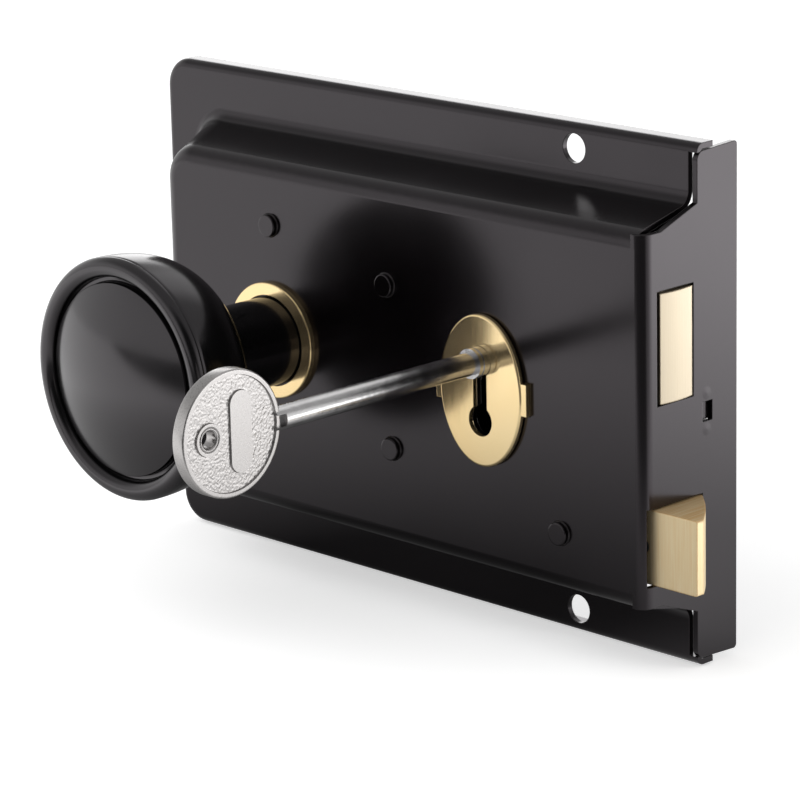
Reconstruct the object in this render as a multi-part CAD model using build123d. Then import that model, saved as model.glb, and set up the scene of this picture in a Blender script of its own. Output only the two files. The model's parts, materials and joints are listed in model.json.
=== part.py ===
from build123d import *
import math
import os

# A surface-mounted rim lock for a door: a pressed steel case with a spring latch worked by a knob
# and a dead bolt worked by a lever key.
# Millimetres. Origin: the spindle axis where it meets the door face. +X towards the door edge,
# -Y towards the room, +Z up.

os.makedirs("parts", exist_ok=True)

OVERRUN = 5.0                      # how far every cut runs past what it cuts

# Case, pressed from one sheet with its forend folded round the door edge
SHEET = 1.2
CASE_LEFT = -48.7                  # free end of the flange
CASE_HALF_HEIGHT = 52.1
CASE_DEPTH = 20.1                  # door face to the front of the case
FLANGE_DEPTH = 4.6                 # door face to the front of the flange
FLANGE_CORNER_R = 6.3
LIP_R = 1.8
WALL_BASE_LEFT = -38.3             # foot of the left wall
WALL_TOP_LEFT = -32.0
WALL_BASE_HALF = 40.6              # feet of the top and bottom walls
WALL_TOP_HALF = 36.9
WALL_CORNER_R = 8.0
FRONT_EDGE_R = 3.6
WALL_FOOT_R = 3.0
END_GAP = 1.0                      # between the ends of the walls and the forend
LIP_END_INSET = 0.1                # end of the lip behind the forend face

# Forend
FOREND_X = 102.5
FOREND_BACK = 7.0
FOREND_END_INSET = 1.0             # ends of the forend inside the lip
FOREND_END_SLOPE = 0.6             # the ends of the forend drop this much towards the flange
FOREND_BEND_R = 2.4
FOREND_CORNER_R = 1.8
FOREND_BACK_CORNER_R = 0.8
FOREND_NECK = 5.0                  # from the front of the case to where the forend starts to widen
FOREND_EAR = 10.4                  # end of the forend to its shoulder

# Fixing holes for wood screws
SCREW_HOLE_R = 2.95
SCREW_X = 71.0
SCREW_HALF_SPACING = 47.2
REAR_SCREW_INSET = 5.0             # from the free end of the flange

# Back plate
PLATE = 1.7
PLATE_SET_BACK = 0.4
PLATE_MARGIN = 1.0                 # gap between the plate and the forend
PLATE_INSET = 2.3                  # edges of the plate inside the feet of the walls
PLATE_CORNER_R = 5.0
TONGUE_HALF = 1.85
TONGUE_CENTRE_Z = -0.7
TONGUE_CLEARANCE = 0.15
TONGUE_FRONT_GAP = 1.0             # open slot between the tongue and the front
TONGUE_SET_IN = 0.9                # end of the tongue behind the forend face

# Rivets and pillars, as (x, z)
HEAD_R = 2.35
HEAD_PROUD = 1.1
HEAD_EDGE = 0.25
RIVET_R = 2.0
FIXED_CLEARANCE = 0.03
PLATE_PILLAR = (-0.3, 24.3)
BOLT_PILLAR = (33.6, 16.9)
GUIDE_RIVET = (34.4, -17.1)
LATCH_PILLAR = (80.5, -25.6)
PILLAR_R = 4.2
PIN_R = 2.45
PILLAR_END_GAP = 0.1               # between a pillar and the back plate

# Spindle, follower and knob
SQUARE = 8.0
SQUARE_CLEARANCE = 0.05
SPINDLE_TAIL = 46.0                # spindle left free behind the door face
SPINDLE_IN_KNOB = 2.0              # end of the spindle past the back of the knob
JOURNAL_R = 8.2
RUNNING = 0.06                     # radial clearance of what turns or slides on a pin
HUB_R = 9.5
SIDE_GAP = 0.3                     # running gap at the sides of moving pieces
LOBE_R = 15.5                      # hub centre to the centre of a lobe's round tip
LOBE_TIP_R = 2.8
LOBE_THICK = 7.0
NECK_R = 9.3
NECK_GAP = 0.25                    # between the neck and the case
KNOB_R = 25.0
KNOB_RIM_DEPTH = 61.4              # door face to the widest part of the knob
KNOB_BOWL = 17.3                   # widest part of the knob to its back
KNOB_BACK_R = 14.0
KNOB_BACK_POWER = 2.4
KNOB_BEAD_R = 2.05
KNOB_GROOVE_WIDTH = 1.0
KNOB_GROOVE_DEPTH = 1.8             # below the edge of the dome
KNOB_DOME_PROUD = 1.0               # edge of the dome in front of the widest part
KNOB_DOME_RISE = 4.2
KNOB_SOCKET_R = 6.6                # shank of the neck inside the knob
KNOB_SOCKET_DEPTH = 12.0
GRUB_R = 1.95
GRUB_LENGTH = 4.6
GRUB_INSET = 6.9                   # front of the case to the grub screw
GRUB_SLOT = 0.6
ROSE_R = 12.3
ROSE_PROUD = 1.3
ROSE_BORE_GAP = 0.35
ROSE_EDGE = 0.3

# Latch
LATCH_THROW = 10.8
LATCH_TRAVEL = 11.0
LATCH_INSET = 2.8                  # front of the case to the front of the latch
LATCH_BACK = 3.3                   # door face to the back of the latch
LATCH_BOTTOM = -32.3
LATCH_HEIGHT = 15.0
LATCH_TIP = 1.8
LATCH_BULGE = 0.55                 # how far the bevel bows out
LATCH_EDGE_R = 0.5
LATCH_LENGTH = 17.1
LATCH_OPENING_FRONT = 1.7          # space left in front of the latch
LATCH_OPENING_GAP = 0.25
LATCH_OPENING_TOP = 0.35           # space left over the latch
TAIL = 2.5
TAIL_HEIGHT = 6.0
TAIL_WIDE = 11.0
TAIL_SHOULDER_X = 61.0
TAIL_TENON = 7.0
LATCH_RIVET_R = 1.5
LATCH_RIVET_INSET = 3.4
STIRRUP_GAP = 1.0                  # between the stirrup and the hub
STIRRUP_WIDTH = 6.0
LOBE_GAP = 0.7                     # between a lobe and its lug
LUG_LOW = 10.5
LUG_HIGH = 18.5
SLOT_CLEARANCE = 0.15

# Latch guide and spring
BRACKET = 1.3
BRACKET_X = 28.0
BRACKET_HALF = 6.4
BRACKET_FOOT = 13.0
BRACKET_FOOT_TOP = -12.4
BRACKET_FOOT_LOW = -21.4
BRACKET_DEPTH = 3.0                # door face to the free edge of the web
GUIDE_GAP = 0.3
PEEN = 1.0
SPRING_R = 4.2
SPRING_WIRE_R = 0.5
SPRING_TURNS = 8
SPRING_END_GAP = 0.3

# Key
KEY_X = 60.7
KEY_Z = 6.0
KEY_SHANK_R = 2.35
KEY_COLLAR_R = 3.05
KEY_COLLAR_PROUD = 4.2             # front of the case to the front of the collar
KEY_COLLAR_RING = 0.9
KEY_COLLAR_GROOVE = 0.2
KEY_TIP = 1.0
KEY_TIP_CHAMFER = 0.6
BIT_THICK = 2.6
BIT_CLEARANCE = 0.25
BOLT_STEP = 12.2                   # reach of the bit where it throws the bolt
LEVER_STEP_1 = 10.6
LEVER_STEP_2 = 9.8
FRONT_STEP = 10.0
BIT_INSET = 3.3                    # front of the case to the front of the bit
BOW_R = 12.2
BOW_THICK = 3.0
BOW_CENTRE = 88.5                  # door face to the middle of the bow
BOW_RIM = 1.0
BOW_SUNK = 0.45
BOW_EDGE = 0.35
PAD_LENGTH = 15.8
PAD_WIDTH = 5.2
PAD_OFFSET = 2.3
EYELET_OFFSET = 5.6
EYELET_R = 3.1
EYELET_HOLE_R = 1.65
KEY_SOCKET_DEPTH = 1.2
KEY_NOTCH_LENGTH = 2.2             # notch in the side of the shank where it meets the bow
KEY_NOTCH_HEIGHT = 2.4
KEY_NOTCH_DEPTH = 1.3
WARD_R = 7.5
WARD_THICK = 1.0
WARD_HEIGHT = 2.9
WARD_GAP_ANGLE = 40.0
WARD_CLEARANCE = 0.3

# Escutcheon
ESC_Z = -0.1
ESC_WIDTH = 22.0
ESC_HEIGHT = 31.0
ESC_THICK = 1.1
ESC_GAP = 0.3
ESC_EDGE = 0.5
ESC_LUG = 6.5
ESC_LUG_LENGTH = 3.9
ESC_LUG_OUT = 1.2                  # how far a lug stands out past the oval
ESC_LUG_SET_BACK = 0.3             # face of a lug behind the face of the plate
ESC_LUG_CLEARANCE = 0.15
KEYHOLE_R = 3.12
KEYHOLE_SLOT = 3.7
CASE_KEYHOLE_EXTRA = 0.25

# Dead bolt
BOLT_THROW = 12.0
BOLT_INSET = 4.8                   # front of the case to the front of the bolt
BOLT_BACK = 6.0                    # door face to the back of the bolt
BOLT_BOTTOM = 3.3
BOLT_HEIGHT = 21.7
BOLT_PROUD = 0.4                   # middle of the bolt face in front of the forend face
BOLT_LENGTH = 24.3                 # forend face to the rear of the bolt
BOLT_CROWN = 0.5
BOLT_OPENING_GAP = 0.25
BOLT_OPENING_TOP = 0.5
BOLT_OPENING_FRONT = 1.0
BOLT_TAIL = 3.0
BOLT_TAIL_TOP = 24.5
BOLT_TAIL_BOTTOM = 13.8
BOLT_TAIL_FOOT = 12.0
BOLT_TAIL_FOOT_END = 46.0
BOLT_TAIL_LEFT = 17.0
BOLT_TENON = 8.0
TALON_DEPTH = 4.8
BOLT_RIVET_R = 1.4
STUMP_R = 1.6
STUMP_X = 57.0
STUMP_Z = 21.7

# Levers, drawn lifted so that the gate lets the stump through
LEVER = 1.8
LEVER_GAP = 0.3
LEVER_BOSS_R = 5.2
LEVER_DROP = 6.0                   # degrees
LEVER_TOP = 31.0
LEVER_END = 74.8
LEVER_CORNER_R = 1.5
LEVER_WAIST_X = 46.0
BELLY_CLEARANCE = 0.2
BELLY_ANGLE = 50.0
GATE_CLEARANCE = 0.35
LEVER_SPRING = 0.5
LEVER_SPRING_WIDTH = 1.2
LEVER_SPRING_X = 44.0
LEVER_SPRING_REACH = 15.0
LEVER_SPRING_SET = 1.6             # how deep the strip is set into the lever
LEVER_SPRING_GAP = 0.3

# Screw that holds the back plate
SCREW_R = 1.75
SCREW_LENGTH = 8.0
SCREW_HEAD_R = 3.4
SCREW_HEAD = 1.7
SCREW_SLOT = 0.7
SCREW_SLOT_DEPTH = 0.8

# Worked out from the sizes above
FRONT_INNER = CASE_DEPTH - SHEET
PLATE_INNER = PLATE_SET_BACK + PLATE
FOREND_INNER = FOREND_X - SHEET
WALL_END_X = FOREND_INNER - END_GAP
FOREND_HALF_HEIGHT = CASE_HALF_HEIGHT - FOREND_END_INSET
FOREND_SHOULDER_HALF = FOREND_HALF_HEIGHT - FOREND_EAR
KNOB_BACK_DEPTH = KNOB_RIM_DEPTH - KNOB_BOWL
SPINDLE_END = KNOB_BACK_DEPTH + SPINDLE_IN_KNOB
GRUB_DEPTH = CASE_DEPTH + GRUB_INSET
LATCH_FRONT = CASE_DEPTH - LATCH_INSET
TAIL_FRONT = (LATCH_FRONT + LATCH_BACK + TAIL) / 2
TAIL_Z = LATCH_BOTTOM + LATCH_HEIGHT / 2
LATCH_REAR = FOREND_X + LATCH_THROW - LATCH_LENGTH
BOLT_FRONT = CASE_DEPTH - BOLT_INSET
BOLT_TAIL_FRONT = (BOLT_FRONT + BOLT_BACK + BOLT_TAIL) / 2
BOLT_REAR = FOREND_X - BOLT_LENGTH
LEVER_1_FRONT = BOLT_TAIL_FRONT - BOLT_TAIL - LEVER_GAP
LEVER_2_FRONT = LEVER_1_FRONT - LEVER - LEVER_GAP
BIT_FRONT = CASE_DEPTH - BIT_INSET
BIT_BACK = LEVER_2_FRONT - LEVER - LEVER_GAP
KEY_COLLAR_FRONT = CASE_DEPTH + KEY_COLLAR_PROUD


def face_plane(depth):
    """Plane parallel to the door, this far in front of it; local x is X and local y is Z."""
    return Plane(origin=(0, -depth, 0), x_dir=(1, 0, 0), z_dir=(0, -1, 0))


def slab(sketch, front, back):
    """A flat outline in X and Z made solid between two depths in front of the door face."""
    return extrude(face_plane(back) * sketch, amount=front - back)


def block(x0, x1, front, back, z0, z1):
    """A plain block between two values of X, two depths and two heights."""
    size = (x1 - x0, front - back, z1 - z0)
    return Pos((x0 + x1) / 2, -(front + back) / 2, (z0 + z1) / 2) * Box(*size)


def post(place, radius, front, back):
    """A round post square to the door at (x, z), between two depths."""
    x, z = place
    return slab(Pos(x, z) * Circle(radius), front, back)


def save(name, shape):
    """Writes one sub-part and gives it back."""
    shape.label = name
    export_step(shape, f"parts/{name}.step")
    return shape


def dumbbell(radius, slot):
    """Keyhole outline: a slot with a round hole at each end, the upper one on the key's axis."""
    low = 2 * ESC_Z - KEY_Z
    outline = Pos(KEY_X, KEY_Z) * Circle(radius) + Pos(KEY_X, low) * Circle(radius)
    return outline + Pos(KEY_X, ESC_Z) * Rectangle(slot, KEY_Z - low)


# Case cover

def wall_rectangle(depth, inset):
    """Outline of the raised walls at a depth, moved in by a thickness."""
    share = (depth - FLANGE_DEPTH) / (CASE_DEPTH - FLANGE_DEPTH)
    side_slope = (WALL_BASE_HALF - WALL_TOP_HALF) / (CASE_DEPTH - FLANGE_DEPTH)
    left_slope = (WALL_TOP_LEFT - WALL_BASE_LEFT) / (CASE_DEPTH - FLANGE_DEPTH)
    half = WALL_BASE_HALF + (WALL_TOP_HALF - WALL_BASE_HALF) * share - inset * math.hypot(1, side_slope)
    left = WALL_BASE_LEFT + (WALL_TOP_LEFT - WALL_BASE_LEFT) * share + inset * math.hypot(1, left_slope)
    right = FOREND_X + 3 * OVERRUN
    return Pos((left + right) / 2, 0) * Rectangle(right - left, 2 * half)


def hat(inset, back):
    """The solid form of the pressed case, moved in by a thickness and run back to a depth."""
    front = CASE_DEPTH - inset
    foot = FLANGE_DEPTH - inset
    raised = loft([face_plane(foot) * wall_rectangle(foot, inset),
                   face_plane(front) * wall_rectangle(front, inset)], ruled=True)
    corners = raised.edges().filter_by(Axis.X, reverse=True).filter_by(Axis.Z, reverse=True)
    corners = corners.filter_by(Axis.Y, reverse=True).group_by(Axis.X)[0]
    raised = fillet(corners, WALL_CORNER_R - inset)
    rim = raised.faces().sort_by(Axis.Y)[0].outer_wire().edges()
    right = rim.sort_by(Axis.X)[-1]
    raised = fillet([edge for edge in rim if edge != right], FRONT_EDGE_R - inset)
    left, right = CASE_LEFT + inset, FOREND_X + 3 * OVERRUN
    base_outline = Pos((left + right) / 2, 0) * RectangleRounded(
        right - left, 2 * (CASE_HALF_HEIGHT - inset), FLANGE_CORNER_R - inset)
    base = slab(base_outline, foot, back)
    lip = base.faces().sort_by(Axis.Y)[0].outer_wire().edges()
    base = fillet([edge for edge in lip if edge.center().X < FOREND_X], LIP_R - inset)
    return base, raised


def joined_hat(inset, back):
    """The raised walls joined to the flange with a round foot."""
    base, raised = hat(inset, back)
    tall = CASE_HALF_HEIGHT + OVERRUN
    beyond = block(FOREND_X + OVERRUN, FOREND_X + 4 * OVERRUN, CASE_DEPTH + OVERRUN, -2 * OVERRUN,
                   -tall, tall)
    whole = base + raised - beyond
    level = -(FLANGE_DEPTH - inset)
    foot = [edge for edge in whole.edges()
            if abs(edge.center().Y - level) < FIXED_CLEARANCE
            and abs(edge.center().Z) < WALL_BASE_HALF + SHEET
            and WALL_BASE_LEFT - SHEET < edge.center().X < FOREND_X]
    return fillet(foot, WALL_FOOT_R + inset)


def forend_outline():
    """Outline of the forend in Y and Z: narrow where it leaves the front, wide behind the flange."""
    front_corner = (-FLANGE_DEPTH, FOREND_HALF_HEIGHT - FOREND_END_SLOPE)
    upper = [(-CASE_DEPTH, 0), (-CASE_DEPTH, WALL_TOP_HALF), (FOREND_NECK - CASE_DEPTH, WALL_TOP_HALF),
             (-FLANGE_DEPTH, FOREND_SHOULDER_HALF), front_corner,
             (FOREND_BACK, FOREND_HALF_HEIGHT), (FOREND_BACK, 0)]
    half = make_face(Polyline(upper, close=True))
    half = fillet(half.vertices().sort_by_distance((*front_corner, 0))[0], FOREND_CORNER_R)
    half = fillet(half.vertices().sort_by(Axis.Y)[-1], FOREND_BACK_CORNER_R)
    return half + mirror(half, about=Plane.XZ)


def forend():
    """The forend plate and its bend into the front of the case."""
    plate = extrude(Plane(origin=(FOREND_INNER, 0, 0), x_dir=(0, 1, 0), z_dir=(1, 0, 0))
                    * forend_outline(), amount=SHEET)
    strip = block(WALL_END_X - END_GAP, FOREND_X, CASE_DEPTH, FRONT_INNER, -WALL_TOP_HALF, WALL_TOP_HALF)
    bent = plate + strip
    outer = [e for e in bent.edges().filter_by(Axis.Z)
             if abs(e.center().X - FOREND_X) < FIXED_CLEARANCE
             and abs(e.center().Y + CASE_DEPTH) < FIXED_CLEARANCE]
    bent = fillet(outer, FOREND_BEND_R)
    inner = [e for e in bent.edges().filter_by(Axis.Z)
             if abs(e.center().X - FOREND_INNER) < FIXED_CLEARANCE
             and abs(e.center().Y + FRONT_INNER) < FIXED_CLEARANCE]
    return fillet(inner, FOREND_BEND_R - SHEET)


def case_cuts():
    """Everything punched through the case and its forend."""
    cuts = []
    for side in (-1, 1):
        cuts.append(post((SCREW_X, side * SCREW_HALF_SPACING), SCREW_HOLE_R,
                         FLANGE_DEPTH + OVERRUN, -OVERRUN))
    cuts.append(post((CASE_LEFT + REAR_SCREW_INSET, 0), SCREW_HOLE_R, FLANGE_DEPTH + OVERRUN, -OVERRUN))
    for place in (PLATE_PILLAR, BOLT_PILLAR, GUIDE_RIVET, LATCH_PILLAR):
        cuts.append(post(place, RIVET_R + FIXED_CLEARANCE, CASE_DEPTH + OVERRUN, FRONT_INNER - SHEET))
    cuts.append(post((0, 0), JOURNAL_R + RUNNING, CASE_DEPTH + OVERRUN, FRONT_INNER - SHEET))
    keyhole = dumbbell(KEYHOLE_R + CASE_KEYHOLE_EXTRA, KEYHOLE_SLOT + 2 * CASE_KEYHOLE_EXTRA)
    cuts.append(slab(keyhole, CASE_DEPTH + OVERRUN, FRONT_INNER - SHEET))
    for side in (-1, 1):
        middle = KEY_X + side * (ESC_WIDTH / 2 + ESC_LUG_OUT - ESC_THICK / 2)
        half = ESC_THICK / 2 + ESC_LUG_CLEARANCE
        cuts.append(block(middle - half, middle + half, CASE_DEPTH + OVERRUN, FRONT_INNER - SHEET,
                          ESC_Z - ESC_LUG / 2 - ESC_LUG_CLEARANCE, ESC_Z + ESC_LUG / 2 + ESC_LUG_CLEARANCE))
    cuts.append(block(FOREND_INNER - END_GAP, FOREND_X + OVERRUN, LATCH_FRONT + LATCH_OPENING_FRONT,
                      LATCH_BACK - LATCH_OPENING_GAP,
                      LATCH_BOTTOM - LATCH_OPENING_GAP, LATCH_BOTTOM + LATCH_HEIGHT + LATCH_OPENING_TOP))
    cuts.append(block(FOREND_INNER - END_GAP, FOREND_X + OVERRUN, BOLT_FRONT + BOLT_OPENING_FRONT,
                      BOLT_BACK - BOLT_OPENING_GAP,
                      BOLT_BOTTOM - BOLT_OPENING_GAP, BOLT_BOTTOM + BOLT_HEIGHT + BOLT_OPENING_TOP))
    cuts.append(block(FOREND_INNER - END_GAP, FOREND_X + OVERRUN, PLATE_INNER + TONGUE_FRONT_GAP,
                      PLATE_SET_BACK - TONGUE_CLEARANCE,
                      TONGUE_CENTRE_Z - TONGUE_HALF - TONGUE_CLEARANCE,
                      TONGUE_CENTRE_Z + TONGUE_HALF + TONGUE_CLEARANCE))
    return cuts


def case_cover():
    """The pressed shell, open at the back, with its flange, lip and folded forend."""
    shell = joined_hat(0, 0) - joined_hat(SHEET, -OVERRUN)
    tall = CASE_HALF_HEIGHT + OVERRUN
    below_lip = CASE_HALF_HEIGHT - LIP_R
    shell -= block(WALL_END_X, FOREND_X + 2 * OVERRUN, CASE_DEPTH + OVERRUN, -OVERRUN, -below_lip, below_lip)
    shell -= block(FOREND_X - LIP_END_INSET, FOREND_X + 2 * OVERRUN, CASE_DEPTH + OVERRUN, -OVERRUN, -tall, tall)
    whole = shell + forend()
    for cut in case_cuts():
        whole = whole - cut
    return whole


# Back plate and its screw

def back_plate():
    """Flat plate that closes the raised box, with a tongue that hooks into the forend."""
    left = WALL_BASE_LEFT + PLATE_INSET
    right = FOREND_INNER - PLATE_MARGIN
    half = WALL_BASE_HALF - PLATE_INSET
    outline = Pos((left + right) / 2, 0) * RectangleRounded(right - left, 2 * half, PLATE_CORNER_R)
    tongue_end = FOREND_X - TONGUE_SET_IN
    outline += Pos((right + tongue_end) / 2, TONGUE_CENTRE_Z) * Rectangle(tongue_end - right, 2 * TONGUE_HALF)
    outline -= Circle(JOURNAL_R + RUNNING)
    outline -= dumbbell(KEYHOLE_R + CASE_KEYHOLE_EXTRA, KEYHOLE_SLOT + 2 * CASE_KEYHOLE_EXTRA)
    outline -= Pos(*PLATE_PILLAR) * Circle(SCREW_R + FIXED_CLEARANCE)
    return slab(outline, PLATE_INNER, PLATE_SET_BACK)


def back_plate_screw():
    """Slotted screw that draws the back plate against its pillar."""
    head = post(PLATE_PILLAR, SCREW_HEAD_R, PLATE_SET_BACK, PLATE_SET_BACK - SCREW_HEAD)
    head = fillet(head.faces().sort_by(Axis.Y)[-1].outer_wire().edges(), SCREW_HEAD / 2)
    x, z = PLATE_PILLAR
    slot = block(x - SCREW_HEAD_R - OVERRUN, x + SCREW_HEAD_R + OVERRUN,
                 PLATE_SET_BACK - SCREW_HEAD + SCREW_SLOT_DEPTH, PLATE_SET_BACK - SCREW_HEAD - OVERRUN,
                 z - SCREW_SLOT / 2, z + SCREW_SLOT / 2)
    return head - slot + post(PLATE_PILLAR, SCREW_R, PLATE_SET_BACK + SCREW_LENGTH, PLATE_SET_BACK)


# Rivets and pillars

def rivet_head(place):
    """The round head that shows on the front of the case, with its shank through the sheet."""
    head = post(place, HEAD_R, CASE_DEPTH + HEAD_PROUD, CASE_DEPTH)
    head = fillet(head.faces().sort_by(Axis.Y)[0].outer_wire().edges(), HEAD_EDGE)
    return head + post(place, RIVET_R, CASE_DEPTH, FRONT_INNER)


def plate_pillar():
    """Pillar with a tapped end for the back plate screw."""
    body = rivet_head(PLATE_PILLAR) + post(PLATE_PILLAR, PILLAR_R, FRONT_INNER, PLATE_INNER)
    return body - post(PLATE_PILLAR, SCREW_R + FIXED_CLEARANCE,
                       PLATE_SET_BACK + SCREW_LENGTH + FIXED_CLEARANCE, PLATE_INNER - OVERRUN)


def stepped_pillar(place, step):
    """Pillar whose thick foot carries a plate and whose thin end guides it."""
    body = rivet_head(place) + post(place, PILLAR_R, FRONT_INNER, step)
    return body + post(place, PIN_R, step, PLATE_INNER + PILLAR_END_GAP)


def guide_rivet():
    """Rivet that holds the latch guide, peened over inside."""
    seat = FRONT_INNER - BRACKET
    return rivet_head(GUIDE_RIVET) + post(GUIDE_RIVET, RIVET_R, FRONT_INNER, seat) \
        + post(GUIDE_RIVET, HEAD_R, seat, seat - PEEN)


# Knob set

def square_bar(side, front, back):
    return slab(Rectangle(side, side), front, back)


def spindle():
    """Square bar from inside the knob, through the follower and out behind the door face."""
    return square_bar(SQUARE, SPINDLE_END, -SPINDLE_TAIL)


def follower():
    """Hub on the spindle with a lobe above and below, on journals in the case and the back plate."""
    hub = post((0, 0), HUB_R, FRONT_INNER - SIDE_GAP, PLATE_INNER + SIDE_GAP)
    journals = post((0, 0), JOURNAL_R, CASE_DEPTH - SIDE_GAP / 2, PLATE_SET_BACK + SIDE_GAP / 2)
    middle = TAIL_FRONT - TAIL / 2
    lobes = Rectangle(2 * LOBE_TIP_R, 2 * LOBE_R)
    for side in (-1, 1):
        lobes += Pos(0, side * LOBE_R) * Circle(LOBE_TIP_R)
    lobes = slab(lobes, middle + LOBE_THICK / 2, middle - LOBE_THICK / 2)
    bore = square_bar(SQUARE + 2 * SQUARE_CLEARANCE, CASE_DEPTH + OVERRUN, -OVERRUN)
    return hub + journals + lobes - bore


def knob():
    """Turned knob: beaded rim, groove, domed middle and a bowl-shaped back."""
    steps = 6
    bowl = []
    for i in range(steps + 1):
        share = 1 - (1 - i / steps) ** 2
        depth = KNOB_RIM_DEPTH + (KNOB_BACK_DEPTH - KNOB_RIM_DEPTH) * share
        reach = (1 - share ** KNOB_BACK_POWER) ** (1 / KNOB_BACK_POWER)
        bowl.append((KNOB_BACK_R + (KNOB_R - KNOB_BACK_R) * reach, -depth))
    bead_middle = KNOB_R - KNOB_BEAD_R
    bead_front = -KNOB_RIM_DEPTH - KNOB_BEAD_R
    bead_inner = bead_middle - KNOB_BEAD_R
    dome_r = bead_inner - KNOB_GROOVE_WIDTH
    dome_edge = -KNOB_RIM_DEPTH - KNOB_DOME_PROUD
    groove = dome_edge + KNOB_GROOVE_DEPTH
    outline = Spline(bowl, tangents=[(0, 1), (-1, 0)])
    outline += Line(bowl[-1], (0, -KNOB_BACK_DEPTH))
    outline += Line((0, -KNOB_BACK_DEPTH), (0, dome_edge - KNOB_DOME_RISE))
    dome_radius = (dome_r ** 2 + KNOB_DOME_RISE ** 2) / (2 * KNOB_DOME_RISE)
    half_x = dome_r / 2
    half_y = dome_edge - KNOB_DOME_RISE + dome_radius - math.sqrt(dome_radius ** 2 - half_x ** 2)
    outline += ThreePointArc((0, dome_edge - KNOB_DOME_RISE), (half_x, half_y), (dome_r, dome_edge))
    outline += Line((dome_r, dome_edge), (dome_r, groove))
    outline += Line((dome_r, groove), (bead_inner, groove))
    outline += Line((bead_inner, groove), (bead_inner, -KNOB_RIM_DEPTH))
    outline += ThreePointArc((bead_inner, -KNOB_RIM_DEPTH), (bead_middle, bead_front),
                             (KNOB_R, -KNOB_RIM_DEPTH))
    body = revolve(make_face(outline), Axis.Y)
    socket = post((0, 0), KNOB_SOCKET_R, KNOB_BACK_DEPTH + KNOB_SOCKET_DEPTH, KNOB_BACK_DEPTH - OVERRUN)
    return body - socket


def grub_screw():
    """Set screw that locks the neck to the spindle, on the side away from the door edge."""
    seat = SQUARE / 2 + FIXED_CLEARANCE
    screw = Plane(origin=(-seat, -GRUB_DEPTH, 0), z_dir=(-1, 0, 0)) * Cylinder(
        GRUB_R, GRUB_LENGTH, align=(Align.CENTER, Align.CENTER, Align.MIN))
    slot = block(-seat - GRUB_LENGTH - OVERRUN, -seat - GRUB_LENGTH + GRUB_SLOT,
                 GRUB_DEPTH + GRUB_SLOT / 2, GRUB_DEPTH - GRUB_SLOT / 2, -GRUB_R - OVERRUN, GRUB_R + OVERRUN)
    return screw - slot


def knob_neck():
    """Neck between knob and case, bored square for the spindle and tapped for the grub screw."""
    neck = post((0, 0), NECK_R, KNOB_BACK_DEPTH, CASE_DEPTH + NECK_GAP)
    neck += post((0, 0), KNOB_SOCKET_R - FIXED_CLEARANCE,
                 KNOB_BACK_DEPTH + KNOB_SOCKET_DEPTH - FIXED_CLEARANCE, KNOB_BACK_DEPTH)
    bore = square_bar(SQUARE + 2 * SQUARE_CLEARANCE, SPINDLE_END + SQUARE_CLEARANCE, 0)
    tapped = Plane(origin=(0, -GRUB_DEPTH, 0), z_dir=(-1, 0, 0)) * Cylinder(
        GRUB_R + FIXED_CLEARANCE, NECK_R + OVERRUN, align=(Align.CENTER, Align.CENTER, Align.MIN))
    return neck - bore - tapped


def rose():
    """Brass ring on the case round the neck."""
    ring = post((0, 0), ROSE_R, CASE_DEPTH + ROSE_PROUD, CASE_DEPTH)
    ring = fillet(ring.faces().sort_by(Axis.Y)[0].outer_wire().edges(), ROSE_EDGE)
    return ring - post((0, 0), NECK_R + ROSE_BORE_GAP, CASE_DEPTH + ROSE_PROUD + OVERRUN, 0)


# Latch

def latch_tenon():
    return block(LATCH_REAR, LATCH_REAR + TAIL_TENON, TAIL_FRONT, TAIL_FRONT - TAIL,
                 TAIL_Z - TAIL_WIDE / 2, TAIL_Z + TAIL_WIDE / 2)


def latch_head():
    """Brass latch, flat towards the room and bevelled towards the door."""
    tip_x = FOREND_X + LATCH_THROW
    tip = (tip_x, -LATCH_FRONT + LATCH_TIP)
    heel = (FOREND_X, -LATCH_BACK)
    length = math.dist(tip, heel)
    across = ((heel[1] - tip[1]) / length, (tip[0] - heel[0]) / length)
    middle = ((tip[0] + heel[0]) / 2 + LATCH_BULGE * across[0], (tip[1] + heel[1]) / 2 + LATCH_BULGE * across[1])
    outline = Polyline([heel, (LATCH_REAR, -LATCH_BACK), (LATCH_REAR, -LATCH_FRONT), (tip_x, -LATCH_FRONT), tip])
    outline += ThreePointArc(tip, middle, heel)
    head = extrude(Plane.XY.offset(LATCH_BOTTOM) * make_face(outline), amount=LATCH_HEIGHT)
    ends = head.edges().filter_by(Axis.Y).group_by(Axis.X)[-1]
    head = fillet(ends, LATCH_EDGE_R)
    rivet = post((LATCH_REAR + LATCH_RIVET_INSET, TAIL_Z), LATCH_RIVET_R, CASE_DEPTH, 0)
    return head - latch_tenon() - rivet


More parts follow.
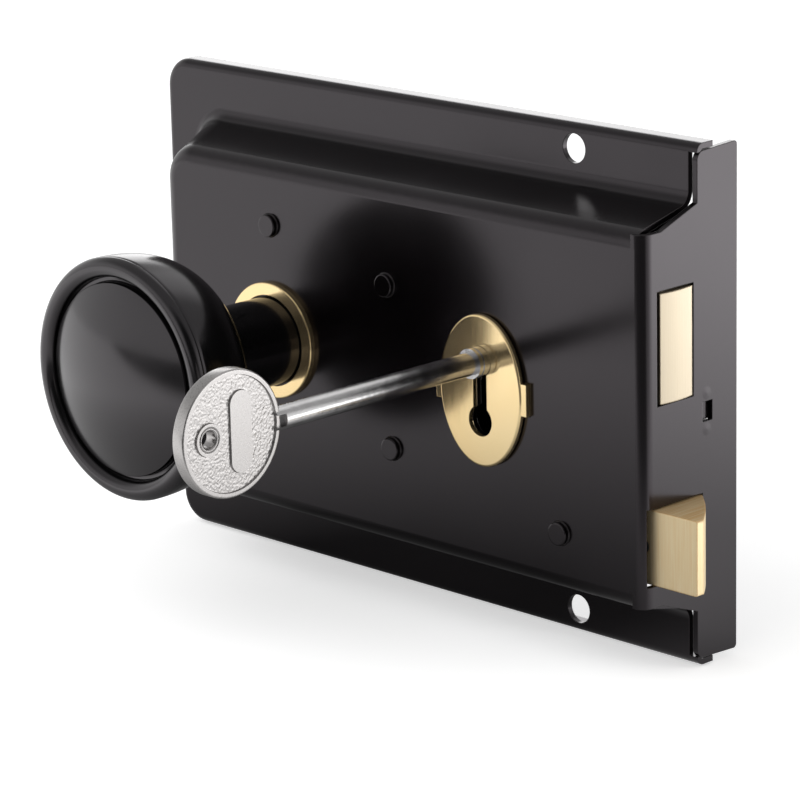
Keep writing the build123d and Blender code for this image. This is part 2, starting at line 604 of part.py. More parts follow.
def latch_tail():
    """Steel plate from the latch to the follower: slot, spring shoulder, and a stirrup with two lugs."""
    left = -HUB_R - STIRRUP_GAP - STIRRUP_WIDTH
    inner = -HUB_R - STIRRUP_GAP
    lug = -LOBE_TIP_R - LOBE_GAP
    low = TAIL_Z - TAIL_HEIGHT / 2
    outline = Pos((left + TAIL_SHOULDER_X) / 2, TAIL_Z) * Rectangle(TAIL_SHOULDER_X - left, TAIL_HEIGHT)
    outline += Pos((TAIL_SHOULDER_X + LATCH_REAR) / 2, TAIL_Z) * Rectangle(
        LATCH_REAR - TAIL_SHOULDER_X, TAIL_WIDE)
    outline += Pos((left + inner) / 2, (low + LUG_HIGH) / 2) * Rectangle(inner - left, LUG_HIGH - low)
    for side in (-1, 1):
        outline += Pos((left + lug) / 2, side * (LUG_LOW + LUG_HIGH) / 2) * Rectangle(
            lug - left, LUG_HIGH - LUG_LOW)
    x, z = LATCH_PILLAR
    half = PIN_R + SLOT_CLEARANCE
    outline -= Pos(x + LATCH_TRAVEL / 2, z) * SlotCenterToCenter(LATCH_TRAVEL, 2 * half)
    plate = slab(outline, TAIL_FRONT, TAIL_FRONT - TAIL) + latch_tenon()
    return plate - post((LATCH_REAR + LATCH_RIVET_INSET, TAIL_Z), LATCH_RIVET_R, CASE_DEPTH, 0)


def latch_rivet():
    return post((LATCH_REAR + LATCH_RIVET_INSET, TAIL_Z), LATCH_RIVET_R, LATCH_FRONT, LATCH_BACK)


def latch_guide():
    """Bracket riveted to the case: its web steadies the tail and holds the end of the spring."""
    foot = block(BRACKET_X, BRACKET_X + BRACKET_FOOT, FRONT_INNER, FRONT_INNER - BRACKET,
                 BRACKET_FOOT_LOW, BRACKET_FOOT_TOP)
    web = block(BRACKET_X, BRACKET_X + BRACKET, FRONT_INNER, BRACKET_DEPTH,
                TAIL_Z - BRACKET_HALF, BRACKET_FOOT_TOP)
    window = block(BRACKET_X - OVERRUN, BRACKET_X + BRACKET + OVERRUN,
                   TAIL_FRONT + GUIDE_GAP, TAIL_FRONT - TAIL - GUIDE_GAP,
                   TAIL_Z - TAIL_HEIGHT / 2 - GUIDE_GAP, TAIL_Z + TAIL_HEIGHT / 2 + GUIDE_GAP)
    hole = post(GUIDE_RIVET, RIVET_R + FIXED_CLEARANCE, CASE_DEPTH, FRONT_INNER - BRACKET - OVERRUN)
    return foot + web - window - hole


def latch_spring():
    """Coil round the tail, between the guide and the shoulder."""
    start = BRACKET_X + BRACKET + SPRING_END_GAP + SPRING_WIRE_R
    end = TAIL_SHOULDER_X - SPRING_END_GAP - SPRING_WIRE_R
    pitch = (end - start) / SPRING_TURNS
    path = Helix(pitch, end - start, SPRING_R)
    section = Plane(origin=path @ 0, z_dir=path % 0) * Circle(SPRING_WIRE_R)
    coil = sweep(section, path=path, is_frenet=True)
    print(f"latch spring: least gap between turns {pitch - 2 * SPRING_WIRE_R:.2f} mm")
    frame = Plane(origin=(start, -(TAIL_FRONT - TAIL / 2), TAIL_Z), x_dir=(0, 1, 0), z_dir=(1, 0, 0))
    return frame * coil


# Dead bolt

def bolt_tenon():
    return block(BOLT_REAR, BOLT_REAR + BOLT_TENON, BOLT_TAIL_FRONT, BOLT_TAIL_FRONT - BOLT_TAIL,
                 BOLT_TAIL_BOTTOM, BOLT_TAIL_TOP)


def bolt_rivets():
    """Two rivets that join the bolt head to its tail."""
    x = BOLT_REAR + BOLT_TENON / 2
    spread = (BOLT_TAIL_TOP - BOLT_TAIL_BOTTOM) / 4
    middle = (BOLT_TAIL_TOP + BOLT_TAIL_BOTTOM) / 2
    return [post((x, middle + side * spread), BOLT_RIVET_R, BOLT_FRONT, BOLT_BACK)
            for side in (-1, 1)]


def deadbolt_head():
    """Brass bolt head with a slightly crowned end."""
    face_x = FOREND_X + BOLT_PROUD
    edge_x = face_x - BOLT_CROWN
    front = -BOLT_FRONT
    back = -BOLT_BACK
    outline = Line((BOLT_REAR, front), (edge_x, front))
    outline += ThreePointArc((edge_x, front), (face_x, (front + back) / 2), (edge_x, back))
    outline += Polyline([(edge_x, back), (BOLT_REAR, back), (BOLT_REAR, front)])
    head = extrude(Plane.XY.offset(BOLT_BOTTOM) * make_face(outline), amount=BOLT_HEIGHT)
    head = head - bolt_tenon()
    for rivet in bolt_rivets():
        head = head - rivet
    return head


def talon():
    """Notch that the bit works in: as wide as the bit's way across it, less the throw."""
    half_way = math.sqrt(BOLT_STEP ** 2 - (BOLT_TAIL_BOTTOM - KEY_Z) ** 2) + BIT_THICK / 2 + BIT_CLEARANCE
    width = 2 * half_way - BOLT_THROW
    low = BOLT_TAIL_FOOT - OVERRUN
    high = BOLT_TAIL_BOTTOM + TALON_DEPTH
    return Pos(KEY_X - BOLT_THROW / 2, (low + high) / 2) * Rectangle(width, high - low)


def deadbolt_tail():
    """Steel plate behind the bolt head, with its guide slot, its talon and the hole for the stump."""
    outline = Pos((BOLT_TAIL_LEFT + BOLT_REAR) / 2, (BOLT_TAIL_BOTTOM + BOLT_TAIL_TOP) / 2) * Rectangle(
        BOLT_REAR - BOLT_TAIL_LEFT, BOLT_TAIL_TOP - BOLT_TAIL_BOTTOM)
    outline += Pos((BOLT_TAIL_LEFT + BOLT_TAIL_FOOT_END) / 2, (BOLT_TAIL_FOOT + BOLT_TAIL_BOTTOM) / 2) \
        * Rectangle(BOLT_TAIL_FOOT_END - BOLT_TAIL_LEFT, BOLT_TAIL_BOTTOM - BOLT_TAIL_FOOT)
    x, z = BOLT_PILLAR
    outline -= Pos(x - BOLT_THROW / 2, z) * SlotCenterToCenter(BOLT_THROW, 2 * (PIN_R + SLOT_CLEARANCE))
    outline -= talon()
    outline -= Pos(STUMP_X, STUMP_Z) * Circle(STUMP_R)
    plate = slab(outline, BOLT_TAIL_FRONT, BOLT_TAIL_FRONT - BOLT_TAIL) + bolt_tenon()
    for rivet in bolt_rivets():
        plate = plate - rivet
    return plate


def bolt_stump():
    """Pin on the bolt tail that the levers stop or let through."""
    return post((STUMP_X, STUMP_Z), STUMP_R, BOLT_TAIL_FRONT, BIT_BACK)


# Levers

def in_lever(x, z):
    """Where a fixed point lies on a lever once the lever has dropped."""
    px, pz = BOLT_PILLAR
    turn = math.radians(LEVER_DROP)
    dx, dz = x - px, z - pz
    return (px + dx * math.cos(turn) - dz * math.sin(turn),
            pz + dx * math.sin(turn) + dz * math.cos(turn))


def lever_window():
    """Gate along the stump's way, with a pocket at each end for the dropped lever."""
    half = STUMP_R + GATE_CLEARANCE
    low = STUMP_Z - half
    left, right = STUMP_X - half, STUMP_X + BOLT_THROW + half
    window = Pos((left + right) / 2, STUMP_Z) * Rectangle(right - left, 2 * half)
    for x in (STUMP_X, STUMP_X + BOLT_THROW):
        dropped_x, dropped_z = in_lever(x, STUMP_Z)
        x0, x1 = dropped_x - half, x + half
        top = dropped_z + half
        window += Pos((x0 + x1) / 2, (low + top) / 2) * Rectangle(x1 - x0, top - low)
    return window


def wall_height(depth):
    """Half height inside the sloping walls at a depth."""
    slope = (WALL_BASE_HALF - WALL_TOP_HALF) / (CASE_DEPTH - FLANGE_DEPTH)
    return WALL_BASE_HALF - slope * (depth - FLANGE_DEPTH) - SHEET * math.hypot(1, slope)


def lever_top_at(x):
    """Height of the lever's sloping upper edge between the pivot and the waist."""
    share = (x - BOLT_PILLAR[0]) / (LEVER_WAIST_X - BOLT_PILLAR[0])
    boss_top = BOLT_PILLAR[1] + LEVER_BOSS_R
    return boss_top + share * (LEVER_TOP - boss_top)


def lever_spring_line(front):
    """Bow of the spring strip, from its foot in the lever up to the wall of the case."""
    foot = (LEVER_SPRING_X, lever_top_at(LEVER_SPRING_X) - LEVER_SPRING_SET)
    tip = (LEVER_SPRING_X + LEVER_SPRING_REACH, wall_height(front) - LEVER_SPRING_GAP - LEVER_SPRING)
    middle = (foot[0] + LEVER_SPRING_REACH / 3, foot[1] + (tip[1] - foot[1]) * 2 / 3)
    return ThreePointArc(foot, middle, tip)


def lever_spring(front):
    """Bowed strip set into the lever, that presses it down from the wall of the case."""
    strip = trace(lever_spring_line(front), line_width=LEVER_SPRING)
    depth = front - (LEVER - LEVER_SPRING_WIDTH) / 2
    return slab(strip, depth, depth - LEVER_SPRING_WIDTH)


def lever(step, front):
    """Lever plate: pivot eye, belly that rides on the key's step, gate window and spring slit."""
    px, pz = BOLT_PILLAR
    belly_r = step + BELLY_CLEARANCE
    reach = belly_r * math.sin(math.radians(BELLY_ANGLE))
    horn_z = KEY_Z + belly_r * math.cos(math.radians(BELLY_ANGLE))
    outline = Polyline([(px, pz - LEVER_BOSS_R), (LEVER_WAIST_X, horn_z), (KEY_X - reach, horn_z)])
    outline += ThreePointArc((KEY_X - reach, horn_z), (KEY_X, KEY_Z + belly_r), (KEY_X + reach, horn_z))
    outline += Polyline([(KEY_X + reach, horn_z), (LEVER_END, horn_z), (LEVER_END, LEVER_TOP),
                         (LEVER_WAIST_X, LEVER_TOP), (px, pz + LEVER_BOSS_R), (px, pz - LEVER_BOSS_R)])
    plate = make_face(outline)
    tips = plate.vertices().filter_by(lambda v: v.X > LEVER_END - FIXED_CLEARANCE)
    plate = fillet(tips, LEVER_CORNER_R)
    plate += Pos(px, pz) * Circle(LEVER_BOSS_R)
    plate -= Pos(px, pz) * Circle(PIN_R + RUNNING)
    plate -= lever_window()
    plate -= trace(lever_spring_line(front), line_width=LEVER_SPRING + 2 * FIXED_CLEARANCE)
    return slab(plate, front, front - LEVER)


def lever_collar():
    """Ring on the bolt pillar that keeps the levers off the back plate."""
    top = LEVER_2_FRONT - LEVER - LEVER_GAP / 2
    ring = post(BOLT_PILLAR, PILLAR_R, top, PLATE_INNER)
    return ring - post(BOLT_PILLAR, PIN_R + FIXED_CLEARANCE, top + OVERRUN, PLATE_INNER - OVERRUN)


# Key and what belongs to it

def key_bit():
    """Bit below the shank, stepped for the bolt and each lever and cut for the ward."""
    half = BIT_THICK / 2
    play = LEVER_GAP / 2
    bands = [(BIT_FRONT, BOLT_TAIL_FRONT + play, FRONT_STEP),
             (BOLT_TAIL_FRONT + play, LEVER_1_FRONT + play, BOLT_STEP),
             (LEVER_1_FRONT + play, LEVER_2_FRONT + play, LEVER_STEP_1),
             (LEVER_2_FRONT + play, BIT_BACK, LEVER_STEP_2)]
    bit = None
    for front, back, reach in bands:
        step = block(KEY_X - half, KEY_X + half, front, back, KEY_Z - reach, KEY_Z)
        bit = step if bit is None else bit + step
    bit = bit - post((KEY_X, KEY_Z), KEY_SHANK_R, BIT_FRONT + OVERRUN, BIT_BACK - OVERRUN)
    ward_low = WARD_R + WARD_THICK / 2 + WARD_CLEARANCE
    ward_high = WARD_R - WARD_THICK / 2 - WARD_CLEARANCE
    ward_back = FRONT_INNER - WARD_HEIGHT - WARD_CLEARANCE
    cut = block(KEY_X - half - OVERRUN, KEY_X + half + OVERRUN, BIT_FRONT + OVERRUN, ward_back,
                KEY_Z - ward_low, KEY_Z - ward_high)
    return bit - cut


def key_shank():
    """Round shank from the bow to its tip in the back plate, thicker where it fills the keyhole."""
    place = (KEY_X, KEY_Z)
    bow_face = BOW_CENTRE - BOW_R
    shank = post(place, KEY_SHANK_R, bow_face + KEY_SOCKET_DEPTH, KEY_TIP)
    tip = shank.faces().sort_by(Axis.Y)[-1].outer_wire().edges()
    shank = chamfer(tip, KEY_TIP_CHAMFER)
    collar_end = BIT_FRONT + FIXED_CLEARANCE
    shank += post(place, KEY_COLLAR_R, KEY_COLLAR_FRONT, collar_end)
    groove_front = KEY_COLLAR_FRONT - KEY_COLLAR_RING
    ring = post(place, KEY_COLLAR_R + KEY_COLLAR_GROOVE, groove_front, groove_front - 2 * KEY_COLLAR_GROOVE)
    ring = ring - post(place, KEY_COLLAR_R - KEY_COLLAR_GROOVE, CASE_DEPTH + OVERRUN, 0)
    notch_front = bow_face + KEY_SOCKET_DEPTH
    side = KEY_X + KEY_SHANK_R
    notch = block(side - KEY_NOTCH_DEPTH, side + OVERRUN, notch_front + OVERRUN, notch_front - KEY_NOTCH_LENGTH,
                  KEY_Z - KEY_NOTCH_HEIGHT / 2, KEY_Z + KEY_NOTCH_HEIGHT / 2)
    return shank - ring - notch


def bow_disc(radius, half):
    """A disc in the bow's plane, centred on the shank's axis."""
    frame = Plane(origin=(KEY_X, -BOW_CENTRE, KEY_Z), x_dir=(0, 1, 0), z_dir=(1, 0, 0))
    return frame * extrude(Circle(radius), amount=half, both=True)


def key_bow():
    """Round bow with a raised rim, a sunk field, a bare pad across it and an eyelet."""
    half = BOW_THICK / 2
    frame = Plane(origin=(KEY_X, -BOW_CENTRE, KEY_Z), x_dir=(0, 1, 0), z_dir=(1, 0, 0))
    disc = bow_disc(BOW_R, half)
    disc = fillet(disc.edges().filter_by(GeomType.CIRCLE), BOW_EDGE)
    pad = Pos(PAD_OFFSET, 0) * Rotation(0, 0, 90) * SlotOverall(PAD_LENGTH, PAD_WIDTH)
    field = Circle(BOW_R - BOW_RIM) - pad - Pos(-EYELET_OFFSET, 0) * Circle(EYELET_R)
    for side in (-1, 1):
        pocket = extrude(Pos(0, 0, side * half) * field, amount=-side * BOW_SUNK)
        disc = disc - frame * pocket
    hole = extrude(Pos(-EYELET_OFFSET, 0) * Circle(EYELET_HOLE_R), amount=half + OVERRUN, both=True)
    disc = disc - frame * hole
    bow_face = BOW_CENTRE - BOW_R
    return disc - post((KEY_X, KEY_Z), KEY_SHANK_R, bow_face + KEY_SOCKET_DEPTH, 0)


def key_ward():
    """Curved fence inside the case that only a bit with the matching cut can pass."""
    ring = Circle(WARD_R + WARD_THICK / 2) - Circle(WARD_R - WARD_THICK / 2)
    reach = WARD_R + OVERRUN
    spread = reach * math.tan(math.radians(WARD_GAP_ANGLE))
    gap = make_face(Polyline([(0, 0), (-spread, -reach), (spread, -reach)], close=True))
    return slab(Pos(KEY_X, KEY_Z) * (ring - gap), FRONT_INNER, FRONT_INNER - WARD_HEIGHT)


def escutcheon():
    """Oval brass plate with the keyhole and two lugs bent back into the case."""
    front = CASE_DEPTH + ESC_GAP + ESC_THICK
    oval = Pos(KEY_X, ESC_Z) * Ellipse(ESC_WIDTH / 2, ESC_HEIGHT / 2)
    plate = slab(oval, front, front - ESC_THICK)
    plate = fillet(plate.faces().sort_by(Axis.Y)[0].outer_wire().edges(), ESC_EDGE)
    for side in (-1, 1):
        low, high = ESC_Z - ESC_LUG / 2, ESC_Z + ESC_LUG / 2
        root = KEY_X + side * (ESC_WIDTH / 2 - ESC_THICK)
        outer = KEY_X + side * (ESC_WIDTH / 2 + ESC_LUG_OUT)
        inner = outer - side * ESC_THICK
        plate += block(min(root, outer), max(root, outer), front - ESC_LUG_SET_BACK, front - ESC_THICK, low, high)
        plate += block(min(inner, outer), max(inner, outer), front - ESC_LUG_SET_BACK, front - ESC_LUG_LENGTH,
                       low, high)
    return plate - slab(dumbbell(KEYHOLE_R, KEYHOLE_SLOT), front + OVERRUN, CASE_DEPTH)


save("case_cover", case_cover())
save("back_plate", back_plate())
save("back_plate_screw", back_plate_screw())
save("plate_pillar", plate_pillar())
save("bolt_pillar", stepped_pillar(BOLT_PILLAR, BOLT_TAIL_FRONT + SIDE_GAP))
save("guide_rivet", guide_rivet())
save("latch_pillar", stepped_pillar(LATCH_PILLAR, TAIL_FRONT + SIDE_GAP))
save("latch_guide", latch_guide())
save("key_ward", key_ward())
save("rose", rose())
save("escutcheon", escutcheon())
save("lever_collar", lever_collar())
save("knob", knob())
save("knob_neck", knob_neck())
save("grub_screw", grub_screw())
save("spindle", spindle())
save("follower", follower())
save("latch_head", latch_head())
save("latch_tail", latch_tail())
save("latch_rivet", latch_rivet())
save("latch_spring", latch_spring())
save("deadbolt_head", deadbolt_head())
save("deadbolt_tail", deadbolt_tail())
save("deadbolt_rivets", Compound(children=bolt_rivets()))
save("bolt_stump", bolt_stump())
save("lever_1", lever(LEVER_STEP_1, LEVER_1_FRONT))
save("lever_2", lever(LEVER_STEP_2, LEVER_2_FRONT))
save("lever_spring_1", lever_spring(LEVER_1_FRONT))
save("lever_spring_2", lever_spring(LEVER_2_FRONT))
save("key_bow", key_bow())
save("key_shank", key_shank())
save("key_bit", key_bit())
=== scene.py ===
import json
import math
import random

import bmesh
import bpy
from mathutils import Matrix, Vector
from mathutils.geometry import delaunay_2d_cdt


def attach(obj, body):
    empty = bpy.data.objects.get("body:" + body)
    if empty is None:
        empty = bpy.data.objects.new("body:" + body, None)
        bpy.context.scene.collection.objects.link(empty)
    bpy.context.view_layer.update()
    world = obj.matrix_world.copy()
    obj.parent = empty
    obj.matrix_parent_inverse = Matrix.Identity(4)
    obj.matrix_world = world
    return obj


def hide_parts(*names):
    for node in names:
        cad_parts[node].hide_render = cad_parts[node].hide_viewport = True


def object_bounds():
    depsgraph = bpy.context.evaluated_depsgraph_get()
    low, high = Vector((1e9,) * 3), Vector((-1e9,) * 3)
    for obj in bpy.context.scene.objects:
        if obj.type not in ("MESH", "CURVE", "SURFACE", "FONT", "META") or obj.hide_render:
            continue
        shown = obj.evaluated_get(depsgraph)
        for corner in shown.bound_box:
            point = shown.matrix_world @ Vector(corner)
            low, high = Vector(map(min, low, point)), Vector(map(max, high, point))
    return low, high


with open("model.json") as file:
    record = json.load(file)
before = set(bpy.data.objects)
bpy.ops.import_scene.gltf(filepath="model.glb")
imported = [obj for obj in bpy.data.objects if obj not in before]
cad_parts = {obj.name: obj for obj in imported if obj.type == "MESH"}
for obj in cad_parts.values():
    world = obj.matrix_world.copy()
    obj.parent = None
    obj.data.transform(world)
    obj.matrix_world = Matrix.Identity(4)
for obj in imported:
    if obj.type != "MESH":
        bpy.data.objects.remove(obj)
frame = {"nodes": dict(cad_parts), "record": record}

MM = 0.001
cad_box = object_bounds()
nodes = frame["nodes"]


# Making nodes, for materials and for geometry

def node(tree, kind, inputs=None, **settings):
    """One node. An input is either a value or the socket that feeds it."""
    made = tree.nodes.new(kind)
    for key, value in settings.items():
        setattr(made, key, value)
    for key, value in (inputs or {}).items():
        if isinstance(value, bpy.types.NodeSocket):
            tree.links.new(value, made.inputs[key])
        else:
            made.inputs[key].default_value = value
    return made


def surface(name):
    """A new material with its tree, its shader and the object coordinates in metres."""
    material = bpy.data.materials.new(name)
    material.use_nodes = True
    tree = material.node_tree
    place = node(tree, "ShaderNodeTexCoord").outputs["Object"]
    return material, tree, tree.nodes["Principled BSDF"], place


def noise(tree, place, scale, detail=2.0, roughness=0.5):
    return node(tree, "ShaderNodeTexNoise", {"Vector": place, "Scale": scale, "Detail": detail,
                                             "Roughness": roughness}).outputs["Fac"]


def stretched(tree, place, stretch):
    """Coordinates scaled along each axis, for grain that runs one way."""
    return node(tree, "ShaderNodeMapping", {"Vector": place, "Scale": stretch}).outputs["Vector"]


def between(tree, value, low, high, from_low=0.3, from_high=0.7):
    """A value spread over a new range."""
    return node(tree, "ShaderNodeMapRange", {"Value": value, "From Min": from_low, "From Max": from_high,
                                             "To Min": low, "To Max": high}).outputs["Result"]


def sums(tree, operation, first, second):
    return node(tree, "ShaderNodeMath", {0: first, 1: second}, operation=operation).outputs[0]


def vectors(tree, operation, first, second, result="Vector"):
    return node(tree, "ShaderNodeVectorMath", {0: first, 1: second}, operation=operation).outputs[result]


def blend(tree, share, first, second):
    """A number between two others."""
    return node(tree, "ShaderNodeMix", {0: share, 2: first, 3: second}, data_type="FLOAT").outputs[0]


def tint(tree, value, dark, light):
    """A colour between two others."""
    ramp = node(tree, "ShaderNodeValToRGB", {"Fac": value})
    ramp.color_ramp.elements[0].position = 0.3
    ramp.color_ramp.elements[0].color = (*dark, 1)
    ramp.color_ramp.elements[1].position = 0.7
    ramp.color_ramp.elements[1].color = (*light, 1)
    return ramp.outputs["Color"]


def soft_edges(tree, radius):
    """Normal that rounds the sharp edges of sheet and bar a little."""
    return node(tree, "ShaderNodeBevel", {"Radius": radius}, samples=6).outputs["Normal"]


def edge_share(tree, rounded):
    """1 along the edges that the rounded normal softens, 0 on the flats."""
    flat = node(tree, "ShaderNodeNewGeometry").outputs["Normal"]
    return between(tree, vectors(tree, "DOT_PRODUCT", rounded, flat, "Value"), 1.0, 0.0, 0.94, 0.998)


def mixed(tree, share, first, second):
    """A colour between two others, each a value or a socket."""
    colours = [(*colour, 1) if isinstance(colour, tuple) else colour for colour in (first, second)]
    return node(tree, "ShaderNodeMix", {0: share, 6: colours[0], 7: colours[1]}, data_type="RGBA").outputs[2]


def bump(tree, height, strength, distance, below=None):
    inputs = {"Height": height, "Strength": strength, "Distance": distance}
    if below is not None:
        inputs["Normal"] = below
    return node(tree, "ShaderNodeBump", inputs).outputs["Normal"]


def connect(tree, shader, **sockets):
    """Feeds the shader's inputs, named with underscores for spaces."""
    for key, value in sockets.items():
        socket = shader.inputs[key.replace("_", " ")]
        if isinstance(value, bpy.types.NodeSocket):
            tree.links.new(value, socket)
        else:
            socket.default_value = value


# Finishes

# Where the forend's slot for the tongue lies, the heights at which its sheet is pressed out, and how far
TONGUE_SLOT, PRESSED_HEIGHTS, PRESSED_REACH = (102.5, -1.9), (2.9, -4.3), 1.3


def baked_lacquer():
    """Black stoved lacquer on steel: satin gloss, faint orange peel, soft waviness, and a painted highlight
    of lighter, rougher lacquer along the edges.
    """
    material, tree, shader, place = surface("baked lacquer")
    edges = soft_edges(tree, 0.25 * MM)
    waves = bump(tree, noise(tree, place, 28, 1), 0.20, 0.25 * MM, edges)
    peel = bump(tree, noise(tree, place, 900, 1), 0.16, 0.02 * MM, waves)
    for height in PRESSED_HEIGHTS:
        centre = tuple(length * MM for length in (*TONGUE_SLOT, height))
        away = vectors(tree, "DISTANCE", place, centre, "Value")
        peel = bump(tree, between(tree, away, 1.0, 0.0, 0.0, PRESSED_REACH * MM), 0.5, 0.15 * MM, peel)
    cloud = noise(tree, place, 45, 3)
    # painted highlight: the edges are mixed towards a lighter grey, and their roughness is raised
    painted_edge_highlight = sums(tree, "MULTIPLY", edge_share(tree, edges), noise(tree, place, 700, 4, 0.7))
    colour = tint(tree, cloud, (0.0008, 0.0005, 0.0006), (0.0014, 0.0010, 0.0012))
    connect(tree, shader, Base_Color=mixed(tree, painted_edge_highlight, colour, (0.030, 0.027, 0.026)),
            Roughness=blend(tree, painted_edge_highlight, between(tree, cloud, 0.18, 0.23), 0.42), Normal=peel,
            Specular_IOR_Level=0.52, Specular_Tint=(1.0, 0.90, 0.97, 1),
            Coat_Weight=0.05, Coat_Roughness=0.15, Coat_Normal=peel)
    return material


def deep_gloss(name):
    """Deep black gloss of the knob and its neck."""
    material, tree, shader, place = surface(name)
    cloud = noise(tree, place, 120, 2)
    soft = bump(tree, noise(tree, place, 160, 1), 0.05, 0.05 * MM)
    connect(tree, shader, Base_Color=tint(tree, cloud, (0.002, 0.002, 0.0021), (0.003, 0.003, 0.0032)),
            Roughness=between(tree, cloud, 0.15, 0.20), Normal=soft, Specular_IOR_Level=0.70,
            Specular_Tint=(1.0, 0.93, 0.98, 1), Coat_Weight=0.10, Coat_Roughness=0.10)
    return material


def polished_brass():
    """Lacquered brass sheet, polished, with fine straight rubbing marks."""
    material, tree, shader, place = surface("polished brass")
    edges = soft_edges(tree, 0.2 * MM)
    lines = noise(tree, stretched(tree, place, (2600, 2600, 90)), 1, 3, 0.6)
    cloud = noise(tree, place, 60, 2)
    connect(tree, shader, Base_Color=tint(tree, cloud, (0.90, 0.675, 0.35), (0.93, 0.725, 0.405)),
            Metallic=0.94, Roughness=between(tree, lines, 0.11, 0.16),
            Normal=bump(tree, lines, 0.10, 0.01 * MM, edges))
    return material


def sawn_brass(name, dark, light, rough, metallic):
    """Satin brass rubbed on a belt: marks run up the sides and along the duller top and bottom. Its colour is
    darker along the edges, and the top and bottom are painted deeper and darker as shade.
    """
    material, tree, shader, place = surface(name)
    edges = soft_edges(tree, 0.4 * MM)
    flat = node(tree, "ShaderNodeNewGeometry").outputs["True Normal"]
    upward = node(tree, "ShaderNodeSeparateXYZ", {0: flat}).outputs["Z"]
    level = sums(tree, "GREATER_THAN", sums(tree, "ABSOLUTE", upward, 0.0), 0.7)
    sides = noise(tree, stretched(tree, place, (2600, 2600, 70)), 1, 4, 0.65)
    top = noise(tree, stretched(tree, place, (2400, 80, 2400)), 1, 4, 0.65)
    lines = blend(tree, level, sides, top)
    roughness = sums(tree, "ADD", between(tree, lines, rough, rough + 0.14),
                     sums(tree, "MULTIPLY", level, 0.24))
    deep = tuple(channel ** 2.2 for channel in dark)
    # darker along the edges; on the top and bottom, a painted shade that mixes in a deeper, darker brass
    dark_edges_and_painted_shade = sums(tree, "MULTIPLY", edge_share(tree, edges), noise(tree, place, 1500, 3, 0.7))
    dark_edges_and_painted_shade = sums(tree, "MAXIMUM", dark_edges_and_painted_shade, sums(tree, "MULTIPLY", level, between(tree, lines, 0.55, 0.0)))
    connect(tree, shader, Base_Color=mixed(tree, dark_edges_and_painted_shade, tint(tree, lines, dark, light), deep),
            Metallic=metallic, Roughness=roughness,
            Normal=bump(tree, lines, blend(tree, level, 0.35, 0.8), 0.03 * MM, edges))
    return material


def plain_steel(name, dark, light, rough, metallic=1.0, stretch=(220, 220, 220)):
    """Steel as rolled, drawn, oiled or blackened."""
    material, tree, shader, place = surface(name)
    grain = noise(tree, stretched(tree, place, stretch), 1, 4, 0.6)
    connect(tree, shader, Base_Color=tint(tree, grain, dark, light), Metallic=metallic,
            Roughness=between(tree, grain, rough, rough + 0.12), Normal=bump(tree, grain, 0.10, 0.02 * MM))
    return material


def bright_plate():
    """Chromium on the key's shank, over a turned bar that was never quite smooth."""
    material, tree, shader, place = surface("bright plate")
    cloud = noise(tree, place, 300, 2)
    ripples = bump(tree, noise(tree, stretched(tree, place, (900, 320, 900)), 1, 4, 0.65), 0.45, 0.08 * MM)
    flecks = bump(tree, noise(tree, place, 2400, 3, 0.7), 0.55, 0.05 * MM, ripples)
    connect(tree, shader, Base_Color=tint(tree, cloud, (0.60, 0.59, 0.59), (0.70, 0.69, 0.69)),
            Metallic=1.0, Roughness=between(tree, cloud, 0.17, 0.24), Normal=flecks)
    return material


def cast_silver():
    """Bright plating over the casting of the key's bow."""
    material, tree, shader, place = surface("plated casting")
    grain = noise(tree, place, 2600, 3)
    connect(tree, shader, Base_Color=tint(tree, grain, (0.44, 0.425, 0.417), (0.54, 0.522, 0.514)),
            Metallic=1.0, Roughness=between(tree, grain, 0.26, 0.36),
            Normal=bump(tree, grain, 0.15, 0.02 * MM))
    return material


lacquer = baked_lacquer()
finishes = {
    "case_lacquer": lacquer,
    "knob_black": deep_gloss("knob black"),
    "neck_lacquer": deep_gloss("neck lacquer"),
    "polished_brass": polished_brass(),
    "satin_brass": sawn_brass("latch brass", (0.91, 0.69, 0.38), (0.98, 0.83, 0.56), 0.42, 0.80),
    "lever_brass": plain_steel("lever brass", (0.55, 0.41, 0.20), (0.66, 0.51, 0.27), 0.35),
    "plain_steel": plain_steel("blanked steel", (0.38, 0.38, 0.39), (0.50, 0.50, 0.51), 0.34),
    "bright_steel": plain_steel("drawn steel", (0.56, 0.56, 0.58), (0.68, 0.68, 0.70), 0.24,
                                stretch=(900, 40, 900)),
    "dark_steel": plain_steel("blackened steel", (0.05, 0.05, 0.055), (0.09, 0.09, 0.10), 0.38),
    "spring_steel": plain_steel("spring steel", (0.30, 0.30, 0.33), (0.42, 0.42, 0.45), 0.28),
    "key_chrome": bright_plate(),
    "bow_silver": cast_silver(),
}
# darker than real brass, so that the bolt keeps its colour under the bright floor that it mirrors
own_finishes = {
    "deadbolt_head": sawn_brass("bolt brass", (0.48, 0.41, 0.305), (0.55, 0.485, 0.375), 0.38, 1.0),
}

for part in frame["record"]["subparts"]:
    mesh = nodes[part["node"]].data
    mesh.materials.clear()
    mesh.materials.append(own_finishes.get(part["node"], finishes[part["material_slot"]]))


# Pieces made by rule

TURNED = {"Points": "NodeSocketInt", "Segments": "NodeSocketInt", "Finish": "NodeSocketMaterial"}
WELD = 0.002


def new_tree(name, **sizes):
    """A Geometry Nodes tree: a geometry and these named sizes go in, a geometry comes out."""
    tree = bpy.data.node_groups.new(name, "GeometryNodeTree")
    tree.interface.new_socket("Geometry", in_out="INPUT", socket_type="NodeSocketGeometry")
    for title, kind in sizes.items():
        tree.interface.new_socket(title, in_out="INPUT", socket_type=kind)
    tree.interface.new_socket("Geometry", in_out="OUTPUT", socket_type="NodeSocketGeometry")
    return tree, tree.nodes.new("NodeGroupInput").outputs


